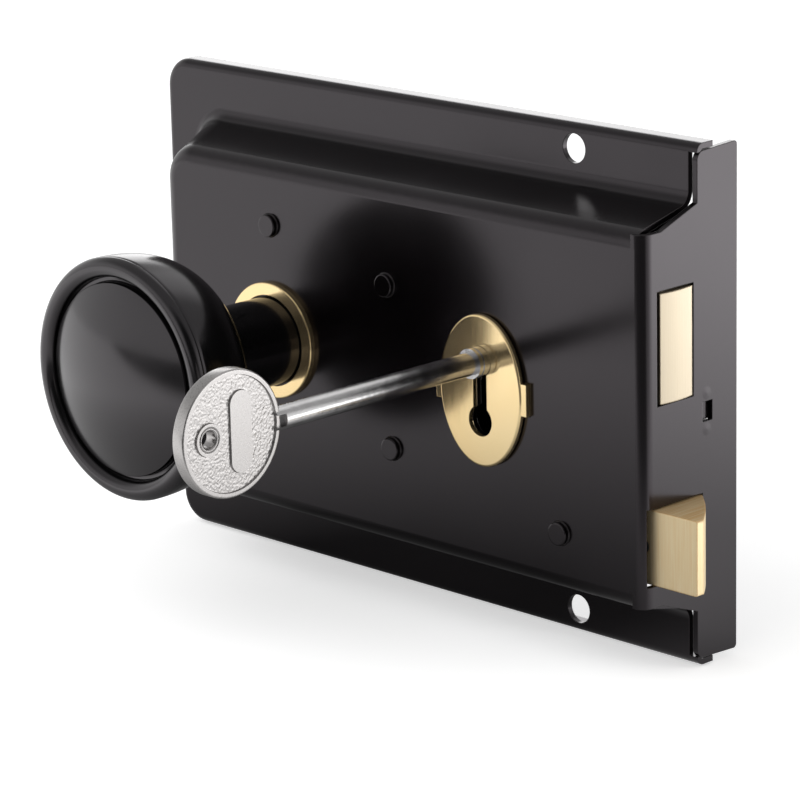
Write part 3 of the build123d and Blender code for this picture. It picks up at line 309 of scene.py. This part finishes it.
def finished(tree, geometry, material):
    """Ends a tree: instances made real, shaded smooth and given their finish."""
    real = node(tree, "GeometryNodeRealizeInstances", {"Geometry": geometry})
    smooth = node(tree, "GeometryNodeSetShadeSmooth", {"Geometry": real.outputs[0]})
    done = node(tree, "GeometryNodeSetMaterial", {"Geometry": smooth.outputs[0], "Material": material})
    node(tree, "NodeGroupOutput", {0: done.outputs[0]})


def lathe():
    """Turns a profile round the Y axis: each of its points becomes a ring."""
    tree, entry = new_tree("lathe", **TURNED)
    across = sums(tree, "ADD", entry["Segments"], 1)
    grid = node(tree, "GeometryNodeMeshGrid", {"Size X": 1.0, "Size Y": 1.0, "Vertices X": entry["Points"],
                                               "Vertices Y": across}).outputs["Mesh"]
    where = node(tree, "ShaderNodeSeparateXYZ", {0: node(tree, "GeometryNodeInputPosition").outputs[0]})
    along = sums(tree, "MULTIPLY", sums(tree, "ADD", where.outputs["X"], 0.5),
                 sums(tree, "SUBTRACT", entry["Points"], 1))
    profile = node(tree, "GeometryNodeSampleIndex", {
        "Geometry": entry["Geometry"], "Value": node(tree, "GeometryNodeInputPosition").outputs[0],
        "Index": sums(tree, "ROUND", along, 0.0)}, data_type="FLOAT_VECTOR").outputs["Value"]
    angle = sums(tree, "MULTIPLY", sums(tree, "ADD", where.outputs["Y"], 0.5), 2 * math.pi)
    turned = node(tree, "ShaderNodeVectorRotate", {"Vector": profile, "Angle": angle}, rotation_type="Y_AXIS")
    placed = node(tree, "GeometryNodeSetPosition", {"Geometry": grid, "Position": turned.outputs[0]})
    welded = node(tree, "GeometryNodeMergeByDistance", {"Geometry": placed.outputs[0], "Distance": WELD * MM})
    finished(tree, welded.outputs[0], entry["Finish"])
    return tree


def rings_at_spots(turning):
    """A turned ring at each loose point that is marked as a spot."""
    tree, entry = new_tree("rings", **TURNED)
    marked = node(tree, "GeometryNodeInputNamedAttribute", {"Name": "spot"}, data_type="BOOLEAN")
    parted = node(tree, "GeometryNodeSeparateGeometry", {"Geometry": entry["Geometry"],
                                                        "Selection": marked.outputs["Attribute"]})
    ring = node(tree, "GeometryNodeGroup", node_tree=turning)
    tree.links.new(parted.outputs["Inverted"], ring.inputs["Geometry"])
    for title in TURNED:
        tree.links.new(entry[title], ring.inputs[title])
    spots = node(tree, "GeometryNodeMeshToPoints", {"Mesh": parted.outputs["Selection"]}).outputs[0]
    placed = node(tree, "GeometryNodeInstanceOnPoints", {"Points": spots, "Instance": ring.outputs[0]})
    finished(tree, placed.outputs[0], entry["Finish"])
    return tree


def granular():
    """Lifts a surface by a fine grain, as far as its lift says, out of the bow's plane."""
    tree, entry = new_tree("granular", Grain="NodeSocketFloat", Height="NodeSocketFloat",
                           Finish="NodeSocketMaterial")
    place = node(tree, "GeometryNodeInputPosition").outputs[0]
    scale = sums(tree, "DIVIDE", 1.0, entry["Grain"])
    grain = node(tree, "ShaderNodeTexNoise", {"Vector": place, "Scale": scale, "Detail": 1.0}).outputs[0]
    height = sums(tree, "MULTIPLY", between(tree, grain, -1.0, 1.0, 0.32, 0.68), entry["Height"])
    lift = node(tree, "GeometryNodeInputNamedAttribute", {"Name": "lift"}, data_type="FLOAT")
    rise = sums(tree, "MULTIPLY", height, lift.outputs["Attribute"])
    offset = node(tree, "ShaderNodeCombineXYZ", {"X": rise}).outputs[0]
    raised = node(tree, "GeometryNodeSetPosition", {"Geometry": entry["Geometry"], "Offset": offset})
    finished(tree, raised.outputs[0], entry["Finish"])
    return tree


def baked(name, mesh, tree, crease=40, **values):
    """The plain mesh object that a tree makes of a source mesh."""
    source = bpy.data.objects.new(name + "_source", mesh)
    bpy.context.collection.objects.link(source)
    modifier = source.modifiers.new(tree.name, "NODES")
    modifier.node_group = tree
    for item in tree.interface.items_tree:
        if item.in_out == "INPUT" and item.name in values:
            modifier[item.identifier] = values[item.name]
    seen = source.evaluated_get(bpy.context.evaluated_depsgraph_get())
    result = bpy.data.meshes.new_from_object(seen)
    bpy.data.objects.remove(source)
    shape = bmesh.new()
    shape.from_mesh(result)
    bmesh.ops.recalc_face_normals(shape, faces=shape.faces)
    shape.to_mesh(result)
    shape.free()
    result.set_sharp_from_angle(angle=math.radians(crease))
    piece = bpy.data.objects.new(name, result)
    bpy.context.collection.objects.link(piece)
    return piece


def line_mesh(name, points, spots=()):
    """A mesh of one line of points, with loose points marked as spots."""
    points = [Vector(p) * MM for p in points]
    edges = [(i, i + 1) for i in range(len(points) - 1)]
    mesh = bpy.data.meshes.new(name)
    mesh.from_pydata(points + [Vector(p) * MM for p in spots], edges, [])
    marked = mesh.attributes.new("spot", "BOOLEAN", "POINT")
    for i in range(len(points), len(points) + len(spots)):
        marked.data[i].value = True
    return mesh


def arc(centre, radius, start, end, steps):
    """Points on an arc in the profile's plane, angles in degrees from outward to backward."""
    points = []
    for i in range(steps + 1):
        angle = math.radians(start + (end - start) * i / steps)
        points.append((centre[0] + radius * math.cos(angle), centre[1] + radius * math.sin(angle), 0))
    return points


# The knob in millimetres: radii, and distances along its axis from the door. Its socket takes the neck, its
# bowl swells from the waist to the rim, and its dome stands in a groove inside the beaded rim.
SOCKET_RADIUS, SOCKET_FLOOR = 6.6, 56.1
KNOB_BACK, KNOB_RIM = 44.1, 61.4
WAIST, SWELL, BOWL_POWER, BOWL_STEPS = 14, 11, 2.4, 40
BACK_RINGS, SOCKET_RING = (8, 11), 50
PARTING = ((24.98, 0.16), (24.91, 0.05), (24.98, -0.06))
BEAD_MIDDLE, BEAD_RADIUS, BEAD_STEPS, BEAD_FRONT = 22.95, 2.05, 26, 1.0
GROOVE_MOUTH, GROOVE_OUTSIDE, OUTER_CORNER = 20.9, 20.88, 20.68
INNER_CORNER, GROOVE_INSIDE = 20.1, 20.2
GROOVE_CORNER, GROOVE_DEPTH, CORNER_STEPS = 0.2, 1.8, 3
DOME_RADIUS, DOME_FOOT, DOME_TOP, DOME_RISE = 19.9, 0.25, 5.2, 4.2
DOME_STEPS, DOME_EDGE_SHARE = 28, 0.992


def knob_profile():
    """Radius and Y of the turned knob, from the socket round the back to the dome."""
    profile = [(radius, -SOCKET_FLOOR, 0) for radius in (0, 3, SOCKET_RADIUS)]
    profile += [(SOCKET_RADIUS, y, 0) for y in (-SOCKET_RING, -KNOB_BACK)]
    bowl = []
    for i in range(BOWL_STEPS + 1):
        share = 1 - (1 - i / BOWL_STEPS) ** 2
        reach = (1 - share ** BOWL_POWER) ** (1 / BOWL_POWER)
        bowl.append((WAIST + SWELL * reach, -KNOB_RIM + (KNOB_RIM - KNOB_BACK) * share, 0))
    profile += [(radius, -KNOB_BACK, 0) for radius in BACK_RINGS] + bowl[:0:-1]
    # parting line between the bowl and the beaded rim
    profile += [(radius, -KNOB_RIM + behind, 0) for radius, behind in PARTING]
    profile += arc((BEAD_MIDDLE, -KNOB_RIM), BEAD_RADIUS, -6, -178, BEAD_STEPS)
    edge = -KNOB_RIM - BEAD_FRONT
    bottom, top = edge + GROOVE_DEPTH, -KNOB_RIM - DOME_TOP
    profile += [(GROOVE_MOUTH, -KNOB_RIM, 0), (GROOVE_OUTSIDE, bottom - GROOVE_CORNER, 0)]
    profile += arc((OUTER_CORNER, bottom - GROOVE_CORNER), GROOVE_CORNER, 0, 90, CORNER_STEPS)
    profile += [(GROOVE_INSIDE, bottom, 0)]
    profile += arc((INNER_CORNER, bottom - GROOVE_CORNER), GROOVE_CORNER, 90, 180, CORNER_STEPS)
    profile += [(DOME_RADIUS, edge + DOME_FOOT, 0)]
    radius = (DOME_RADIUS ** 2 + DOME_RISE ** 2) / (2 * DOME_RISE)
    slope = math.asin(DOME_RADIUS / radius)
    for i in range(DOME_STEPS + 1):
        angle = slope * (1 - i / DOME_STEPS) * (DOME_EDGE_SHARE if i == 0 else 1)
        profile.append((radius * math.sin(angle), top + radius * (1 - math.cos(angle)), 0))
    return profile


# The lacquer at a rivet head: how far it spreads, and how far it runs into the head and into the case
HEAD_RADIUS, CASE_FRONT = 2.33, -20.1
PAINT_SPREAD, PAINT_IN_HEAD, PAINT_IN_CASE = 0.28, 0.05, 0.02


def paint_profile():
    """Section of the lacquer that gathers in the corner between a rivet head and the case."""
    inside, outside = HEAD_RADIUS - PAINT_IN_HEAD, HEAD_RADIUS + PAINT_SPREAD
    under, top = CASE_FRONT + PAINT_IN_CASE, CASE_FRONT - PAINT_SPREAD
    slope = arc((outside, top), PAINT_SPREAD, 90, 180, 6)
    return [(inside, under, 0), (outside, under, 0)] + slope + [(inside, top, 0), (inside, under, 0)]


KNOB_SEGMENTS, PAINT_SEGMENTS = 160, 48

turning = lathe()
knob_line = knob_profile()
knob = baked("turned_knob", line_mesh("knob profile", knob_line), turning,
             Points=len(knob_line), Segments=KNOB_SEGMENTS, Finish=finishes["knob_black"])
paint_line = paint_profile()
rivet_heads = [(-0.3, 0, 24.3), (33.6, 0, 16.9), (34.4, 0, -17.1), (80.5, 0, -25.6)]
paint = baked("paint_at_rivets", line_mesh("paint profile", paint_line, spots=rivet_heads),
              rings_at_spots(turning), Points=len(paint_line), Segments=PAINT_SEGMENTS,
              Finish=lacquer)


# The key's bow

# In millimetres: the disc's middle and size, its sunk field, the raised pad, and the ring round the hole with
# its groove and its countersunk mouth. A wall is how far a step in the relief slopes.
BOW = {"x": 60.7, "y": -88.5, "z": 6.0, "radius": 12.2, "half": 1.5, "edge": 0.35,
       "rim": 1.0, "sunk": 0.42, "wall": 0.13,
       "pad": 2.3, "pad_half": 5.3, "pad_radius": 2.6,
       "eyelet": -5.6, "ring": 3.1, "hole": 1.65, "hole_waist": 0.12,
       "mouth": 0.45, "mouth_depth": 0.30, "groove": 2.32, "groove_half": 0.16, "groove_depth": 0.16}
GRAIN, GRAIN_HEIGHT, BOW_WELD = 0.43, 0.036, 0.003
SAME_POINT, HOLE_SHARE = 0.00001, 0.995
SPACING, ROW, JITTER, CLEAR = 0.16, 0.866, 0.2, 0.6
EDGE_STEPS, EDGE_SEGMENTS, WALL_SEGMENTS = 5, 288, 432
MOUTH_RINGS, GROOVE_RINGS = (0, 0.1, 0.22, 0.36), (-0.16, 0, 0.16, 0.3)


def in_field(a, b):
    """How far a point of the bow is from the rim, the pad and the ring round the hole."""
    from_rim = BOW["radius"] - BOW["rim"] - math.hypot(a, b)
    along = min(max(b, -BOW["pad_half"]), BOW["pad_half"])
    from_pad = math.hypot(a - BOW["pad"], b - along) - BOW["pad_radius"]
    from_ring = math.hypot(a - BOW["eyelet"], b) - BOW["ring"]
    return min(from_rim, from_pad, from_ring)


def relief(a, b):
    """Height of the bow's face, and how much of the grain it takes."""
    depth = min(max(in_field(a, b) / BOW["wall"], 0), 1)
    height = -BOW["sunk"] * depth
    from_eyelet = math.hypot(a - BOW["eyelet"], b)
    if from_eyelet < BOW["hole"] + BOW["mouth"]:
        height -= BOW["mouth_depth"] * (1 - (from_eyelet - BOW["hole"]) / BOW["mouth"]) ** 2
    from_groove = abs(from_eyelet - BOW["groove"])
    if from_groove < BOW["groove_half"]:
        height -= BOW["groove_depth"] * (1 - from_groove / BOW["groove_half"])
    return height, depth


def circle(a, b, radius, count):
    return [(a + radius * math.cos(2 * math.pi * i / count), b + radius * math.sin(2 * math.pi * i / count))
            for i in range(count)]


def pad_outline(offset, step):
    """Points round the pad, moved out by an offset."""
    radius, half = BOW["pad_radius"] + offset, BOW["pad_half"]
    count = int(math.pi * radius / step)
    points = []
    for side in (1, -1):
        for i in range(count + 1):
            angle = math.pi * i / count
            points.append((BOW["pad"] + side * radius * math.cos(angle),
                           side * (half + radius * math.sin(angle))))
        for i in range(1, int(2 * half / step)):
            points.append((BOW["pad"] - side * radius, side * (half - i * step)))
    return points


def bow_points(spacing):
    """Points over one face: along each edge of the relief, and an even scatter between them."""
    random.seed(11)
    outer = BOW["radius"] - BOW["edge"]
    inner, wall = BOW["radius"] - BOW["rim"], BOW["wall"]
    clear = CLEAR * spacing
    points = circle(0, 0, outer, EDGE_SEGMENTS)
    for radius in (inner, inner - wall):
        points += circle(0, 0, radius, WALL_SEGMENTS)
    rings = [BOW["hole"] + step for step in MOUTH_RINGS]
    rings += [BOW["groove"] + step for step in GROOVE_RINGS]
    for radius in rings + [BOW["ring"], BOW["ring"] + wall]:
        points += circle(BOW["eyelet"], 0, radius, int(2 * math.pi * radius / spacing))
    for offset in (0, wall):
        points += pad_outline(offset, spacing)
    rows = int(2 * outer / (spacing * ROW))
    for row in range(rows + 1):
        b = -outer + row * spacing * ROW
        for column in range(int(2 * outer / spacing) + 1):
            a = -outer + (column + 0.5 * (row % 2)) * spacing
            a += random.uniform(-JITTER, JITTER) * spacing
            b_here = b + random.uniform(-JITTER, JITTER) * spacing
            edge = in_field(a, b_here)
            if math.hypot(a, b_here) > outer - clear or -clear < edge < wall + clear:
                continue
            if math.hypot(a - BOW["eyelet"], b_here) < BOW["groove"] + GROOVE_RINGS[-1] + clear:
                continue
            points.append((a, b_here))
    return [Vector(p) for p in points]


def bow_mesh():
    """Both faces of the bow, its rounded edge and the wall of its hole, with the lift of each point."""
    flat, _, triangles, *_ = delaunay_2d_cdt(bow_points(SPACING), [], [], 0, SAME_POINT)
    kept = []
    for corners in triangles:
        middle = sum((flat[i] for i in corners), Vector((0, 0))) / 3
        if math.hypot(middle.x - BOW["eyelet"], middle.y) > BOW["hole"] * HOLE_SHARE:
            kept.append(corners)
    shape = bmesh.new()
    lift = shape.verts.layers.float.new("lift")

    def point(x, a, b, amount=0.0):
        made = shape.verts.new(Vector((BOW["x"] + x, BOW["y"] + a, BOW["z"] + b)) * MM)
        made[lift] = amount
        return made

    for side in (1, -1):
        face = []
        for a, b in flat:
            height, amount = relief(a, b)
            face.append(point(side * (BOW["half"] + height), a, b, side * amount))
        for corners in kept:
            shape.faces.new([face[i] for i in corners])
    bands = []
    for side, turns in ((1, range(EDGE_STEPS + 1)), (-1, range(EDGE_STEPS, -1, -1))):
        for i in turns:
            angle = math.pi / 2 * (1 - i / EDGE_STEPS)
            bands.append((side * (BOW["half"] - BOW["edge"] * (1 - math.sin(angle))), 0.0,
                          BOW["radius"] - BOW["edge"] * (1 - math.cos(angle)), EDGE_SEGMENTS))
    hole_height = BOW["half"] + relief(BOW["eyelet"] + BOW["hole"], 0)[0]
    hole_count = int(2 * math.pi * BOW["hole"] / SPACING)
    bore = [(hole_height, BOW["eyelet"], BOW["hole"], hole_count),
            (0, BOW["eyelet"], BOW["hole"] - BOW["hole_waist"], hole_count),
            (-hole_height, BOW["eyelet"], BOW["hole"], hole_count)]
    for rows in (bands, bore):
        loops = [[point(x, a, b) for a, b in circle(centre, 0, radius, count)]
                 for x, centre, radius, count in rows]
        for near, far in zip(loops, loops[1:]):
            for i in range(len(near)):
                j = (i + 1) % len(near)
                shape.faces.new((near[i], near[j], far[j], far[i]))
    bmesh.ops.remove_doubles(shape, verts=shape.verts, dist=BOW_WELD * MM)
    mesh = bpy.data.meshes.new("bow")
    shape.to_mesh(mesh)
    shape.free()
    return mesh


bow = baked("cast_bow", bow_mesh(), granular(), crease=55, Grain=GRAIN * MM, Height=GRAIN_HEIGHT * MM,
            Finish=finishes["bow_silver"])

for piece, body, stands_for, slot in ((knob, "knob_set", "knob", "knob_black"),
                                      (bow, "key", "key_bow", "bow_silver"),
                                      (paint, "case", None, "case_lacquer")):
    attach(piece, body)
    if stands_for:
        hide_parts(stands_for)


# Room, light and camera

MIRROR_RAYS = ("Is Glossy Ray", "Is Transmission Ray")


def seen_by(tree, *kinds):
    """1 where one of these kinds of ray meets the surface, 0 for the rest."""
    path = node(tree, "ShaderNodeLightPath")
    total = path.outputs[kinds[0]]
    for kind in kinds[1:]:
        total = sums(tree, "MAXIMUM", total, path.outputs[kind])
    return total


# Directions in the world
TOWARDS_CAMERA, OVER_THE_LIP = (0.69, -0.68, 0.26), (-0.69, 0.68, 0.26)

# Brightness in mirrors. Each span is the value at its start, the value at its end, its start and its end.
WORLD = {
    "off the camera": (1.0, 0.04, 0.72, 0.93),
    "high up": (0.95, 0.42, 0.30, 0.58),
    "window behind": (0.0, 1.0, 0.15, 0.42),
    "window aside": (1.0, 0.0, 0.14, 0.36),
    "over the lip": (0.0, 1.6, 0.962, 0.99),
}
WINDOW_X, WINDOW_VALUE, WORLD_LIGHT = -0.2, 0.95, 0.55

# The same for the floor, with starts and ends in metres: a painted shadow round the lock and painted pools of
# light past the forend, seen only in mirrors.
# A patch past the forend has the value at its end, its start and its end.
FLOOR = {
    "away from the lock": (0.08, 1.33, 0.045, 0.22),
    "behind the lock": (1.0, 0.6, 0.0, 0.10),
    "near the camera": (1.0, 0.12, 0.15, 0.23),
    "past the edge": (0.0, 1.0, 0.05, 0.13),
}
FLOOR_PATCHES = ((0.65, 0.0, 0.05), (1.9, 0.12, 0.36))
FLOOR_HALF, FLOOR_GAP, FLOOR_GLOW = 6.0, 0.0005, 0.5

# On the floor, in metres: the point that its painted shadow darkens round, and the directions backward and to
# the camera
AROUND, BACKWARD, TO_CAMERA = (0.03, 0.0), (0.30, 0.954, 0.0), (0.707, -0.707, 0.0)


def white_room():
    """A world white to the eye, soft grey as light, and uneven in mirrors: dark where the camera stood."""
    world = bpy.data.worlds.new("studio")
    bpy.context.scene.world = world
    world.use_nodes = True
    tree = world.node_tree
    direction = node(tree, "ShaderNodeTexCoord").outputs["Generated"]
    towards = vectors(tree, "DOT_PRODUCT", direction, TOWARDS_CAMERA, "Value")
    parts = node(tree, "ShaderNodeSeparateXYZ", {0: direction})
    above = between(tree, parts.outputs["Z"], *WORLD["high up"])
    aside = sums(tree, "ABSOLUTE", sums(tree, "SUBTRACT", parts.outputs["X"], WINDOW_X), 0.0)
    window = sums(tree, "MULTIPLY", between(tree, parts.outputs["Y"], *WORLD["window behind"]),
                  between(tree, aside, *WORLD["window aside"]))
    mirrored = sums(tree, "MULTIPLY", between(tree, towards, *WORLD["off the camera"]),
                    blend(tree, window, above, WINDOW_VALUE))
    over_the_lip = vectors(tree, "DOT_PRODUCT", direction, OVER_THE_LIP, "Value")
    mirrored = sums(tree, "ADD", mirrored, between(tree, over_the_lip, *WORLD["over the lip"]))
    light = blend(tree, seen_by(tree, *MIRROR_RAYS), WORLD_LIGHT, mirrored)
    strength = blend(tree, seen_by(tree, "Is Camera Ray"), light, 1.0)
    background = tree.nodes["Background"]
    background.inputs["Color"].default_value = (1, 1, 1, 1)
    tree.links.new(strength, background.inputs["Strength"])


def pale_floor(height):
    """A wide pale floor with a shadow. Mirrors see a painted shadow on it close to the lock and painted light
    past the forend.
    """
    mesh = bpy.data.meshes.new("floor")
    corners = [(x * FLOOR_HALF, y * FLOOR_HALF, height) for x, y in ((-1, -1), (1, -1), (1, 1), (-1, 1))]
    mesh.from_pydata(corners, [], [(0, 1, 2, 3)])
    floor = bpy.data.objects.new("floor", mesh)
    bpy.context.collection.objects.link(floor)
    material, tree, shader, place = surface("floor")
    speck = between(tree, noise(tree, place, 30, 2), 0.80, 0.82)
    away = vectors(tree, "DISTANCE", place, (*AROUND, height), "Value")
    mirrored = between(tree, away, *FLOOR["away from the lock"])
    behind = vectors(tree, "DOT_PRODUCT", place, BACKWARD, "Value")
    parts = node(tree, "ShaderNodeSeparateXYZ", {0: place})
    mirrored = sums(tree, "MULTIPLY", mirrored, between(tree, parts.outputs["Y"], *FLOOR["behind the lock"]))
    to_camera = vectors(tree, "DOT_PRODUCT", place, TO_CAMERA, "Value")
    mirrored = sums(tree, "MULTIPLY", mirrored, between(tree, to_camera, *FLOOR["near the camera"]))
    past_the_edge = between(tree, parts.outputs["X"], *FLOOR["past the edge"])
    for amount, start, end in FLOOR_PATCHES:
        side = sums(tree, "MULTIPLY", past_the_edge, between(tree, behind, 0.0, amount, start, end))
        mirrored = sums(tree, "ADD", mirrored, side)
    in_mirror = seen_by(tree, *MIRROR_RAYS)
    # in mirrors the floor shows no lit colour, only a glow of painted shade and light
    glow = blend(tree, seen_by(tree, "Is Camera Ray"), blend(tree, in_mirror, 0.0, mirrored), FLOOR_GLOW)
    connect(tree, shader, Base_Color=blend(tree, in_mirror, speck, 0.0), Roughness=0.9,
            Specular_IOR_Level=0.1, Emission_Color=(1, 1, 1, 1), Emission_Strength=glow)
    mesh.materials.append(material)


def softbox(name, place, target, width, height, power):
    """A rectangular lamp turned towards a point."""
    lamp = bpy.data.lights.new(name, "AREA")
    lamp.shape = "RECTANGLE"
    lamp.size, lamp.size_y, lamp.energy = width, height, power
    box = bpy.data.objects.new(name, lamp)
    box.location = place
    box.rotation_mode = "QUATERNION"
    box.rotation_quaternion = (Vector(target) - Vector(place)).to_track_quat("-Z", "Y")
    box.visible_camera = box.visible_glossy = False
    bpy.context.collection.objects.link(box)


# The camera's place in millimetres, its yaw, pitch and roll in degrees, its sensor and its focal length
CAMERA_PLACE, CAMERA_TURN, SENSOR, FOCAL = (553.0, -528.7, 193.4), (45.42, 15.42, -1.34), 36, 167.6


def photograph_camera():
    """The camera at the place and angle from which the lock was photographed."""
    yaw, pitch, roll = (math.radians(angle) for angle in CAMERA_TURN)
    forward = Vector((-math.sin(yaw) * math.cos(pitch), math.cos(yaw) * math.cos(pitch), -math.sin(pitch)))
    level = Vector((math.cos(yaw), math.sin(yaw), 0))
    upright = level.cross(forward)
    right = math.cos(roll) * level + math.sin(roll) * upright
    up = -math.sin(roll) * level + math.cos(roll) * upright
    lens = bpy.data.cameras.new("camera")
    lens.sensor_width, lens.lens = SENSOR, FOCAL
    lens.clip_start, lens.clip_end = 0.02, 50
    camera = bpy.data.objects.new("camera", lens)
    turn = Matrix((right, up, -forward)).transposed().to_4x4()
    camera.matrix_world = Matrix.Translation(Vector(CAMERA_PLACE) * MM) @ turn
    bpy.context.collection.objects.link(camera)
    bpy.context.scene.camera = camera


bpy.context.scene.view_settings.view_transform = "Standard"
white_room()
pale_floor(cad_box[0].z - FLOOR_GAP)
softbox("softbox over the front", place=(-0.5, -1.1, 1.1), target=(0.02, 0, 0), width=2.2, height=1.6,
        power=16)
softbox("softbox beside the forend", place=(1.5, 0.9, 0.35), target=(0.05, 0, 0), width=0.9, height=0.9,
        power=10)
photograph_camera()
